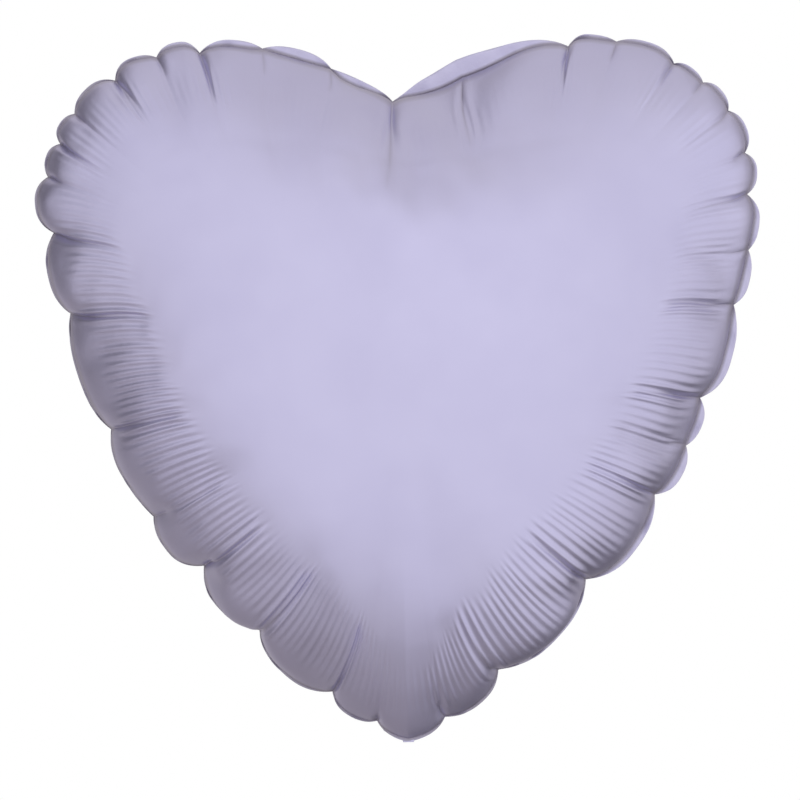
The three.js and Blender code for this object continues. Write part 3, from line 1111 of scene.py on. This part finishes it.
PIECES = [
    (front, "envelope", "front_film", FRONT_LOOK, "front_panel"),
    (back, "envelope", "back_film", BACK_LOOK, "back_panel"),
    (border, "envelope", "border_film", BORDER_LOOK, "welded_border"),
    (valve_front, "envelope", "valve_film", VALVE_LOOK, "valve_front_film"),
    (valve_back, "envelope", "valve_film", VALVE_LOOK, "valve_back_film"),
    (tail_inner, "tail", "tail_film", TAIL_LOOK, "tail_inner_film"),
    (tail_outer, "tail", "tail_film", TAIL_LOOK, "tail_outer_film"),
    (tail_left, "tail", "tail_weld", WELD_LOOK, "tail_seal_left"),
    (tail_right, "tail", "tail_weld", WELD_LOOK, "tail_seal_right"),
]
for piece, body, slot, look, node in PIECES:
    piece.data.materials.append(look)
    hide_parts(node)
    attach(piece, body)
neck.data.materials.append(TAIL_LOOK)
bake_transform(neck)

# ---- the flat film's edge points, as x and y
FLAT_X, FLAT_Y = flat_boundary().T

# ---- camera, light and floor
CAMERA_DISTANCE = 2.1
PICTURE_WIDTH = 0.4376           # across the picture, at the weld
CAMERA_HEIGHT = 0.186
SENSOR = 36
ROLL = math.radians(1.44)
camera_data = bpy.data.cameras.new("camera")
camera_data.sensor_width = SENSOR
camera_data.lens = SENSOR * CAMERA_DISTANCE / PICTURE_WIDTH
camera = new_object("camera", camera_data)
camera.location = (0, -CAMERA_DISTANCE, CAMERA_HEIGHT)
camera.rotation_euler = (math.pi / 2, ROLL, 0)
bpy.context.scene.camera = camera
bpy.context.scene.view_settings.view_transform = "Standard"

KEY_SIZE = 2.4
KEY_RADIANCE = 0.10
KEY_PLACE = Vector((0.5, -2.6, 1.1))
KEY_AIM = Vector((0, 0, 0.19))
key_data = bpy.data.lights.new("key_light", "AREA")
key_data.shape = "DISK"
key_data.size = KEY_SIZE
key_data.energy = KEY_RADIANCE * math.pi * math.pi * (KEY_SIZE / 2) ** 2
key_light = new_object("key_light", key_data)
key_light.location = KEY_PLACE
key_light.rotation_euler = (KEY_AIM - KEY_PLACE).to_track_quat("-Z", "Y").to_euler()
key_light.visible_camera = False

# The studio that the film mirrors: OPEN all round, with these laid over it in turn. For each:
# its colour, its direction, and how far from there, in degrees, it is still full and is gone.
# The camera itself sees plain white.
OPEN = (0.325, 0.297, 0.278)
STUDIO = [
    ((0.685, 0.647, 0.628), (-0.15, 1.0, 0.22), 18, 48),       # a panel straight behind
    ((0.08, 0.07, 0.07), (-0.86, 0.36, 0.30), 20, 44),         # a dark gap behind, on the left
    ((0.08, 0.07, 0.07), (0.46, 0.68, -0.56), 14, 36),         # another low on the right
    ((0.79, 0.77, 0.74), (1.0, -0.12, -0.22), 28, 56),         # the right wall
    ((0.83, 0.805, 0.78), (-1.0, -0.30, -0.20), 14, 42),       # the left wall
    ((1.0, 1.0, 1.0), (0.29, -1.0, 0.35), 57, 116),            # the white tent in front
    ((0.55, 0.52, 0.50), (-0.70, -0.30, -0.65), 10, 36),       # its dull low corner, on the left
    ((0.76, 0.745, 0.71), (0.30, 0.18, 1.0), 22, 50),          # the ceiling
]
n = Nodes(bpy.data.worlds.new("studio"))
bpy.context.scene.world = n.owner
way = n.place("Generated")
mirrored = OPEN
for colour, direction, full, none in STUDIO:
    dot = n.add("ShaderNodeVectorMath", {"operation": "DOT_PRODUCT"})
    n.put(dot, 0, way)
    n.put(dot, 1, Vector(direction).normalized())
    limits = [math.cos(math.radians(degrees)) for degrees in (none, full)]
    share = n.span(dot.outputs["Value"], *limits, curve="SMOOTHSTEP")
    mirrored = n.mix(share, mirrored, colour)
white = n.tree.nodes["Background"]
n.put(white, "Color", (1, 1, 1, 1))
choose = n.add("ShaderNodeMixShader")
n.put(choose, 0, n.add("ShaderNodeLightPath").outputs["Is Camera Ray"])
n.put(choose, 1, n.add("ShaderNodeBackground", Color=mirrored).outputs[0])
n.put(choose, 2, white.outputs[0])
n.put(n.tree.nodes["World Output"], "Surface", choose.outputs[0])

FLOOR_HEIGHT = -0.6
FLOOR_RADIUS = 5.0
FLOOR_SIDES = 96
ring = [
    (FLOOR_RADIUS * math.cos(a), FLOOR_RADIUS * math.sin(a), FLOOR_HEIGHT)
    for a in np.linspace(0, 2 * math.pi, FLOOR_SIDES, endpoint=False)
]
floor_mesh = bpy.data.meshes.new("floor")
floor_mesh.from_pydata(ring, [], [list(range(FLOOR_SIDES))])
floor = new_object("floor", floor_mesh)
n = Nodes(bpy.data.materials.new("floor_look"))
cloud = n.span(n.noise(n.place(), 2.0, 2.0), 0.3, 0.7)
pale = n.mix(cloud, (0.90, 0.90, 0.90), (0.88, 0.88, 0.885))
n.set(Base_Color=pale, Roughness=0.9, Emission_Color=(1.0, 1.0, 1.0, 1.0), Emission_Strength=0.22)
floor_mesh.materials.append(n.owner)
floor.visible_glossy = False
